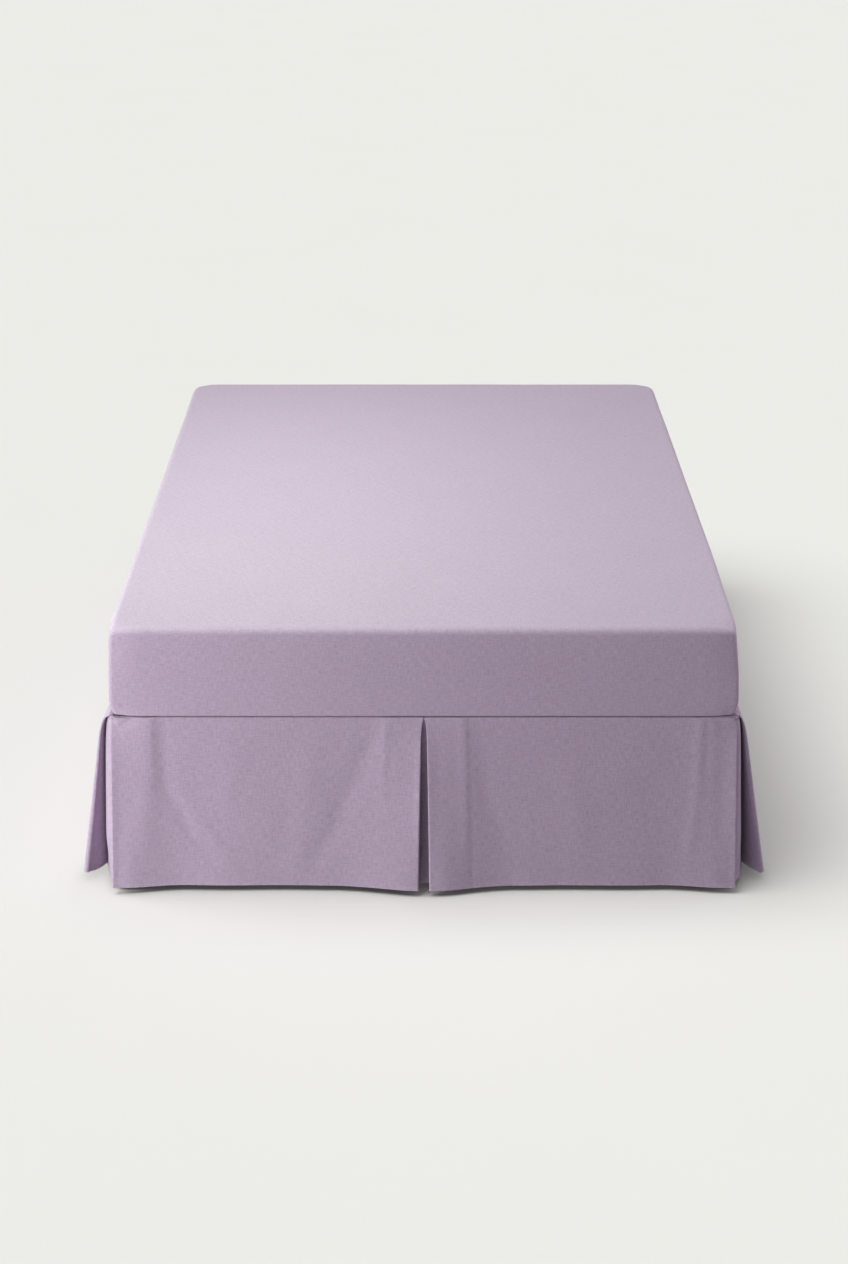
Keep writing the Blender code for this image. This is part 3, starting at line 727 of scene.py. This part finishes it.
def soft_block(name, low, high, block):
    """A closed block: a ring of points for each level, and a grid for top and bottom."""
    size = high - low
    centre = (low + high) / 2
    half_x, half_y = size.x / 2 - block.narrow, size.y / 2
    height = size.z - block.crown
    xs, ys = axis_nodes(half_x, block.corner), axis_nodes(half_y, block.corner)
    ring = [(x, ys[0]) for x in xs] + [(xs[-1], y) for y in ys[1:]]
    ring += [(x, ys[-1]) for x in reversed(xs[:-1])] + [(xs[0], y) for y in reversed(ys[1:-1])]

    def block_point(x, y, inset, z, rise=0.0):
        """A point of the block at the height z, drawn in by inset."""
        level = z / height
        drawn = block.draw_top if level > 0.5 else block.draw_bottom
        inset += drawn * (1 - sin(pi * level) ** block.swell)
        x, y = round_corner(x, y, half_x, half_y, block.corner)
        from_corner = half_x - abs(x) + half_y - abs(y)
        cornered = 1 - smooth_step(0.0, CORNER_REACH, from_corner)
        inset += block.tuck * cornered * (1 - smooth_step(0.0, TUCK_HEIGHT, z))
        inset += block.tuck_top * cornered * smooth_step(*TUCK_TOP_LEVELS, level)
        x *= 1 - inset / half_x
        y *= 1 - inset / half_y
        bump = noise.noise(Vector((x, y, z)) / block.uneven_size + SIDE_NOISE_AT)
        x += block.uneven * bump * (x / half_x) ** 3
        y += block.uneven * bump * (y / half_y) ** 3
        y *= 1 + block.foot_swell * (1 - cornered) * (1 - level) / half_y
        drawn_right = 1 - smooth_step(0.0, RIGHT_DRAW_REACH, y + half_y)
        drawn_right *= smooth_step(*RIGHT_DRAW_LEVELS, level) * max(0.0, x / half_x) ** 3
        x += block.shift - block.right_draw * drawn_right
        sink = block.slump * cornered ** 2 * smooth_step(*SLUMP_LEVELS, level)
        return x + centre.x, y + centre.y, low.z + z + rise - sink

    levels = [(block.rim_undercut * (1 - sin(share * pi / 2)),
               block.rim_lift * (1 - cos(share * pi / 2))) for share in shares(EDGE_LEVELS)]
    straight = height - block.edge_top - block.rim_lift
    levels += [(0.0, block.rim_lift + straight * share) for share in shares(LEVELS)[1:-1]]
    levels += [(block.edge_top * (1 - cos(share * pi / 2)),
                height - block.edge_top * (1 - sin(share * pi / 2)))
               for share in shares(EDGE_LEVELS)]

    points, faces, uvs = [], [], []
    around = running_length([Vector((*spot, 0)) for spot in ring + ring[:1]])
    up = running_length([Vector((*level, 0)) for level in levels])
    for inset, z in levels:
        points += [block_point(x, y, inset, z) for x, y in ring]
    count = len(ring)
    for level in range(len(levels) - 1):
        for spot in range(count):
            after = (spot + 1) % count
            faces.append((level * count + spot, level * count + after,
                          (level + 1) * count + after, (level + 1) * count + spot))
            uvs += [(around[spot], up[level]), (around[spot + 1], up[level]),
                    (around[spot + 1], up[level + 1]), (around[spot], up[level + 1])]

    def add_cap(level, upward):
        """Closes the block with a grid whose rim is the ring at that level."""
        inset, z = levels[level]
        index = {spot: level * count + number for number, spot in enumerate(ring)}
        for y in ys[1:-1]:
            for x in xs[1:-1]:
                index[x, y] = len(points)
                crown = (1 - (x / half_x) ** 4) * (1 - (y / half_y) ** 4)
                ripple = noise.noise(Vector((x, y, 0)) / block.uneven_size + TOP_NOISE_AT)
                rise = (block.crown + block.uneven * ripple) * crown if upward else 0.0
                points.append(block_point(x, y, inset, z, rise))
        for y_a, y_b in zip(ys, ys[1:]):
            for x_a, x_b in zip(xs, xs[1:]):
                spots = [(x_a, y_a), (x_b, y_a), (x_b, y_b), (x_a, y_b)]
                if not upward:
                    spots.reverse()
                faces.append([index[spot] for spot in spots])
                uvs.extend(spots)

    add_cap(len(levels) - 1, True)
    add_cap(0, False)
    return mesh_object(name, points, faces, uvs)


def make_mattress():
    """The covered mattress, one padded piece."""
    pad = soft_block("covered_mattress", PAD_LOW, PAD_HIGH, MATTRESS_BLOCK)
    pad.data.materials.append(COVER_CLOTH)
    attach(pad, "root")
    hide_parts("mattress")


def make_base():
    """The plain base in its upholstery cloth."""
    base = soft_block("upholstered_base", BASE_LOW, BASE_HIGH, BASE_BLOCK)
    base.data.materials.append(BASE_CLOTH)
    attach(base, "root")
    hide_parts("bed_base")


def make_feet():
    """Six turned feet with softened rims, each on its solid's place."""
    for number in range(FOOT_COUNT):
        node = f"base_foot_{number + 1}"
        low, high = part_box(node)
        bm = bmesh.new()
        radius = (high.x - low.x) / 2
        bmesh.ops.create_cone(bm, cap_ends=True, segments=FOOT_SIDES, radius1=radius * FOOT_TAPER,
                              radius2=radius, depth=high.z - low.z)
        rims = [edge for edge in bm.edges if abs(edge.verts[0].co.z - edge.verts[1].co.z) < 1e-6]
        bmesh.ops.bevel(bm, geom=rims, offset=FOOT_BEVEL, segments=FOOT_BEVEL_STEPS, profile=0.5,
                        affect="EDGES")
        bmesh.ops.translate(bm, verts=bm.verts[:], vec=(low + high) / 2)
        mesh = bpy.data.meshes.new(node + "_turned")
        bm.to_mesh(mesh)
        bm.free()
        mesh.shade_smooth()
        foot = add_object(node + "_turned", mesh)
        foot.data.materials.append(FOOT_PLASTIC)
        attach(foot, "root")
        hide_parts(node)


# ---------------- materials
class Nodes:
    """Adds and links shader nodes of one material, with short calls."""

    def __init__(self, tree):
        self.tree = tree

    def add(self, kind, **settings):
        node = self.tree.nodes.new(kind)
        for name, value in settings.items():
            setattr(node, name, value)
        return node

    def link(self, source, target):
        self.tree.links.new(source, target)

    def math(self, operation, first, second=None):
        node = self.add("ShaderNodeMath", operation=operation)
        for socket, value in zip(node.inputs, (first, second)):
            if isinstance(value, (int, float)):
                socket.default_value = value
            elif value is not None:
                self.link(value, socket)
        return node.outputs[0]

    def noise(self, coordinates, scale, stretch=(1, 1, 1), detail=2.0, roughness=0.5):
        """Noise on the cloth's own coordinates, drawn out along one thread or the other."""
        mapping = self.add("ShaderNodeMapping")
        mapping.inputs["Scale"].default_value = stretch
        self.link(coordinates, mapping.inputs["Vector"])
        texture = self.add("ShaderNodeTexNoise")
        texture.inputs["Scale"].default_value = scale
        texture.inputs["Detail"].default_value = detail
        texture.inputs["Roughness"].default_value = roughness
        self.link(mapping.outputs[0], texture.inputs["Vector"])
        return texture.outputs["Fac"]

    def mix_colour(self, factor, first, second):
        node = self.add("ShaderNodeMix", data_type="RGBA")
        sockets = [socket for socket in node.inputs if socket.type == "RGBA"]
        factor_socket = node.inputs[0]
        if isinstance(factor, (int, float)):
            factor_socket.default_value = factor
        else:
            self.link(factor, factor_socket)
        for socket, value in zip(sockets, (first, second)):
            if isinstance(value, tuple):
                socket.default_value = (*value, 1.0)
            else:
                self.link(value, socket)
        return [socket for socket in node.outputs if socket.type == "RGBA"][0]

    def spread(self, value, low, high):
        """Stretches the part of a value between low and high to run from 0 to 1."""
        node = self.add("ShaderNodeMapRange", clamp=True)
        node.inputs["From Min"].default_value = low
        node.inputs["From Max"].default_value = high
        self.link(value, node.inputs["Value"])
        return node.outputs[0]


# thread and slub_length are the yarns' own sizes.  slub_depth sharpens the tone's contrast.
Weave = namedtuple("Weave", "light dark warm cool thread slub_length slub_depth relief sheen "
                            "roughness")
COVER_WEAVE = Weave(
    light=(0.690, 0.562, 0.716), dark=(0.330, 0.238, 0.349),
    warm=(0.580, 0.425, 0.557), cool=(0.465, 0.412, 0.543),
    thread=0.0008, slub_length=0.016, slub_depth=0.50, relief=0.00020, sheen=0.50, roughness=0.85)
SKIRT_WEAVE = Weave(
    light=(0.655, 0.529, 0.682), dark=(0.345, 0.254, 0.363),
    warm=(0.585, 0.425, 0.557), cool=(0.460, 0.412, 0.543),
    thread=0.0009, slub_length=0.018, slub_depth=0.60, relief=0.00028, sheen=0.50, roughness=0.88)
DECK_WEAVE = Weave(
    light=(0.80, 0.78, 0.80), dark=(0.70, 0.68, 0.70),
    warm=(0.79, 0.76, 0.76), cool=(0.74, 0.74, 0.78),
    thread=0.0008, slub_length=0.05, slub_depth=0.40, relief=0.00020, sheen=0.15, roughness=0.92)
BASE_WEAVE = Weave(
    light=(0.66, 0.64, 0.62), dark=(0.50, 0.48, 0.46),
    warm=(0.64, 0.60, 0.56), cool=(0.56, 0.56, 0.57),
    thread=0.0014, slub_length=0.04, slub_depth=0.70, relief=0.00044, sheen=0.15, roughness=0.92)
YARN_THREADS = 3.2              # threads in one yarn's width of noise
SLUB_SPREAD = 0.14              # half the noise's range that runs from dark to light
HEATHER_SCALE = 130.0
HEATHER_RANGE = (0.35, 0.65)
HEATHER_SHARE = 0.30
CLOUD_SCALE = 7.0
CLOUD_RANGE = (0.3, 0.7)
CLOUD_SHARE = 0.06
CROSSING_SHARE = 0.35           # of the weave's crossings in its relief, beside the slubs
CLOTH_SPECULAR = 0.2
SHEEN_ROUGHNESS = 0.5
SHEEN_TINT = (0.92, 0.88, 0.94, 1.0)

PLASTIC_COLOURS = ((0.018, 0.018, 0.019), (0.035, 0.034, 0.033))
PLASTIC_GRAIN_SCALE = 900.0
PLASTIC_GRAIN_DEPTH = 0.0001
PLASTIC_WEAR_SCALE = 60.0
PLASTIC_WEAR_RANGE = (0.45, 0.75)
PLASTIC_ROUGHNESS = (0.42, 0.2)     # the least, and the grain's part

FLOOR_COLOURS = ((0.850, 0.850, 0.812), (0.866, 0.866, 0.828))
FLOOR_TONE_SCALE = 1.3
FLOOR_ROUGHNESS = 0.95


def new_material(name):
    """A material, its nodes and its shader."""
    material = bpy.data.materials.new(name)
    material.use_nodes = True
    return material, Nodes(material.node_tree), material.node_tree.nodes["Principled BSDF"]


def woven_cloth(name, weave):
    """A plain weave with uneven yarns, on the cloth's thread coordinates in metres."""
    material, nodes, shader = new_material(name)
    coordinates = nodes.add("ShaderNodeUVMap", uv_map="cloth").outputs["UV"]
    across_yarn = 1 / (YARN_THREADS * weave.thread)
    along_yarn = 1 / weave.slub_length
    down_slubs = nodes.noise(coordinates, 1.0, (across_yarn, along_yarn, 1))
    cross_slubs = nodes.noise(coordinates, 1.0, (along_yarn, across_yarn, 1))
    slubs = nodes.math("ADD", nodes.math("MULTIPLY", down_slubs, 0.5),
                       nodes.math("MULTIPLY", cross_slubs, 0.5))
    heather = nodes.noise(coordinates, HEATHER_SCALE, detail=3.0)
    clouds = nodes.noise(coordinates, CLOUD_SCALE)

    half_range = SLUB_SPREAD / weave.slub_depth
    tone = nodes.spread(slubs, 0.5 - half_range, 0.5 + half_range)
    yarn = nodes.mix_colour(tone, weave.dark, weave.light)
    hue = nodes.mix_colour(nodes.spread(heather, *HEATHER_RANGE), weave.warm, weave.cool)
    coloured = nodes.mix_colour(HEATHER_SHARE, yarn, hue)
    cloudy = nodes.math("MULTIPLY", nodes.spread(clouds, *CLOUD_RANGE), CLOUD_SHARE)
    nodes.link(nodes.mix_colour(cloudy, coloured, weave.dark), shader.inputs["Base Color"])

    parts = nodes.add("ShaderNodeSeparateXYZ")
    nodes.link(coordinates, parts.inputs[0])
    turns = pi / weave.thread
    weft = nodes.math("SINE", nodes.math("MULTIPLY", parts.outputs["X"], turns))
    warp = nodes.math("SINE", nodes.math("MULTIPLY", parts.outputs["Y"], turns))
    crossing = nodes.math("MULTIPLY", weft, warp)
    height = nodes.math("ADD", nodes.math("MULTIPLY", crossing, CROSSING_SHARE), slubs)
    bump = nodes.add("ShaderNodeBump")
    bump.inputs["Strength"].default_value = 1.0
    bump.inputs["Distance"].default_value = weave.relief
    nodes.link(height, bump.inputs["Height"])
    nodes.link(bump.outputs[0], shader.inputs["Normal"])
    shader.inputs["Roughness"].default_value = weave.roughness
    shader.inputs["Specular IOR Level"].default_value = CLOTH_SPECULAR
    shader.inputs["Sheen Weight"].default_value = weave.sheen
    shader.inputs["Sheen Roughness"].default_value = SHEEN_ROUGHNESS
    shader.inputs["Sheen Tint"].default_value = SHEEN_TINT
    return material


def moulded_plastic(name):
    """Matte black plastic with a faint grain."""
    material, nodes, shader = new_material(name)
    coordinates = nodes.add("ShaderNodeTexCoord").outputs["Object"]
    grain = nodes.noise(coordinates, PLASTIC_GRAIN_SCALE, detail=3.0)
    wear = nodes.noise(coordinates, PLASTIC_WEAR_SCALE)
    colour = nodes.mix_colour(nodes.spread(wear, *PLASTIC_WEAR_RANGE), *PLASTIC_COLOURS)
    nodes.link(colour, shader.inputs["Base Color"])
    least, part = PLASTIC_ROUGHNESS
    roughness = nodes.math("ADD", nodes.math("MULTIPLY", grain, part), least)
    nodes.link(roughness, shader.inputs["Roughness"])
    bump = nodes.add("ShaderNodeBump")
    bump.inputs["Distance"].default_value = PLASTIC_GRAIN_DEPTH
    nodes.link(grain, bump.inputs["Height"])
    nodes.link(bump.outputs[0], shader.inputs["Normal"])
    return material


def floor_paint(name):
    """The plain pale floor."""
    material, nodes, shader = new_material(name)
    coordinates = nodes.add("ShaderNodeTexCoord").outputs["Object"]
    tone = nodes.noise(coordinates, FLOOR_TONE_SCALE)
    nodes.link(nodes.mix_colour(tone, *FLOOR_COLOURS), shader.inputs["Base Color"])
    shader.inputs["Roughness"].default_value = FLOOR_ROUGHNESS
    shader.inputs["Specular IOR Level"].default_value = 0.0
    return material


# ---------------- room and camera
FLOOR_SIZE = 120.0
CAMERA_AT = (0.0, -5.1173, 2.3990)
CAMERA_PITCH = 22.88            # degrees below level
CAMERA_LENS = 59.17             # millimetres, for 36 mm along the frame's height
SENSOR = 36.0

SKY_HIGH = 0.12                 # grey radiance of the sky overhead, at the horizon and below it
SKY_LEVEL = 0.10
SKY_LOW = 0.12
SKY_RISE = (0.05, 0.70)         # heights between which the sky passes from level to high
SKY_FALL = (-0.30, 0.0)         # and from low to level

# The front folds of the side drops shade the floor too little to show in the photograph.
NOT_CASTING = ("drop_left_front_cloth", "drop_right_front_cloth")

NEUTRAL = (1.0, 1.0, 1.0)

# Wide suns: where each stands, how many degrees across it is, and what it lights.
Sun = namedtuple("Sun", "name towards angle strength colour lights")
SUNS = (
    Sun("behind", Vector((0.0, 0.35, 0.94)), 50.0, 1.89, (1.0, 1.01, 1.0), "bed"),
    Sun("left", Vector((-0.9, -0.3, 0.25)), 100.0, 0.80, NEUTRAL, "bed"),
    Sun("floor_key", Vector((-0.50, -0.10, 0.86)), 50.0, 1.89, NEUTRAL, "floor"),
    Sun("floor_above", Vector((-0.15, 0.0, 1.0)), 60.0, 0.88, NEUTRAL, "floor"),
    Sun("floor_right", Vector((0.8, -0.1, 0.6)), 90.0, 0.36, NEUTRAL, "floor"),
)

# Lamps that light the bed alone.
Lamp = namedtuple("Lamp", "name at faces size spread power colour")
LAMPS = (
    Lamp("low_left", Vector((-2.3, -2.2, 0.35)), Vector((0.0, -0.9, 0.3)),
         1.0, 180.0, 52.0, (1.0, 1.02, 1.0)),
    Lamp("above_left", Vector((-0.75, -0.68, 1.9)), Vector((-0.65, -0.55, 0.6)),
         1.0, 180.0, 10.4, (1.0, 1.20, 0.96)),
    Lamp("above_back", Vector((-0.45, 0.35, 2.3)), Vector((-0.45, 0.35, 0.6)),
         0.6, 110.0, 3.0, (1.0, 1.07, 1.0)),
    Lamp("right_fill", Vector((2.8, -1.25, 0.7)), Vector((0.6, -0.9, 0.3)),
         1.0, 180.0, 14.0, (1.0, 0.92, 1.0)),
    Lamp("front_low", Vector((-0.6, -3.6, 0.5)), Vector((-0.2, -0.9, 0.4)),
         1.5, 180.0, 8.5, (1.0, 0.88, 1.0)),
)


def make_floor():
    """The floor, which catches shadows but sends no light back to the bed."""
    mesh = bpy.data.meshes.new("floor")
    bm = bmesh.new()
    bmesh.ops.create_grid(bm, x_segments=1, y_segments=1, size=FLOOR_SIZE / 2)
    bm.to_mesh(mesh)
    bm.free()
    floor = add_object("floor", mesh)
    mesh.materials.append(floor_paint("floor_paint"))
    floor.visible_diffuse = False
    return floor


def add_light(name, kind, towards):
    """A light that shines from the direction towards."""
    light = add_object(name, bpy.data.lights.new(name, kind))
    light.rotation_mode = "QUATERNION"
    light.rotation_quaternion = towards.to_track_quat("Z", "Y")
    return light


def make_lights(floor):
    """Wide suns for the bed and for the floor, and lamps for the bed."""
    bed = bpy.data.collections.new("bed_alone")
    ground = bpy.data.collections.new("floor_alone")
    ground.objects.link(floor)
    casting = bpy.data.collections.new("casting_on_floor")
    for obj in bpy.context.scene.objects:
        if obj.type == "MESH" and obj != floor:
            bed.objects.link(obj)
            if obj.name not in NOT_CASTING:
                casting.objects.link(obj)

    for sun in SUNS:
        light = add_light(sun.name, "SUN", sun.towards)
        light.data.energy = sun.strength
        light.data.color = sun.colour
        light.data.angle = radians(sun.angle)
        light.light_linking.receiver_collection = ground if sun.lights == "floor" else bed
        if sun.lights == "floor":
            light.light_linking.blocker_collection = casting
    for lamp in LAMPS:
        light = add_light(lamp.name, "AREA", lamp.at - lamp.faces)
        light.location = lamp.at
        light.data.size = lamp.size
        light.data.spread = radians(lamp.spread)
        light.data.energy = lamp.power
        light.data.color = lamp.colour
        light.light_linking.receiver_collection = bed


def make_sky():
    """A grey sky, a little darker at the horizon."""
    world = bpy.data.worlds.new("sky")
    bpy.context.scene.world = world
    world.use_nodes = True
    nodes = Nodes(world.node_tree)
    background = world.node_tree.nodes["Background"]
    direction = nodes.add("ShaderNodeTexCoord").outputs["Generated"]
    parts = nodes.add("ShaderNodeSeparateXYZ")
    nodes.link(direction, parts.inputs[0])
    below = nodes.spread(parts.outputs["Z"], *SKY_FALL)
    above = nodes.spread(parts.outputs["Z"], *SKY_RISE)
    colour = nodes.mix_colour(below, (SKY_LOW,) * 3, (SKY_LEVEL,) * 3)
    colour = nodes.mix_colour(above, colour, (SKY_HIGH,) * 3)
    nodes.link(colour, background.inputs["Color"])


def make_camera():
    """The photograph's viewpoint."""
    camera = add_object("camera", bpy.data.cameras.new("camera"))
    camera.location = CAMERA_AT
    camera.rotation_euler = (radians(90 - CAMERA_PITCH), 0, 0)
    camera.data.sensor_width = SENSOR
    camera.data.lens = CAMERA_LENS
    camera.data.clip_end = FLOOR_SIZE
    bpy.context.scene.camera = camera
    bpy.context.scene.view_settings.view_transform = "Standard"


# ---------------- the picture
COVER_CLOTH = woven_cloth("cover_cloth", COVER_WEAVE)
SKIRT_CLOTH = woven_cloth("skirt_cloth", SKIRT_WEAVE)
DECK_CLOTH = woven_cloth("deck_cloth", DECK_WEAVE)
BASE_CLOTH = woven_cloth("base_cloth", BASE_WEAVE)
FOOT_PLASTIC = moulded_plastic("foot_plastic")

make_camera()
make_mattress()
make_base()
make_feet()
make_deck()
for panel in PANELS:
    make_panel(panel)
for underlay in UNDERLAYS:
    make_underlay(underlay)
make_corner_underlay("underlay_corner_left", -1)
make_corner_underlay("underlay_corner_right", 1)
make_lights(make_floor())
make_sky()
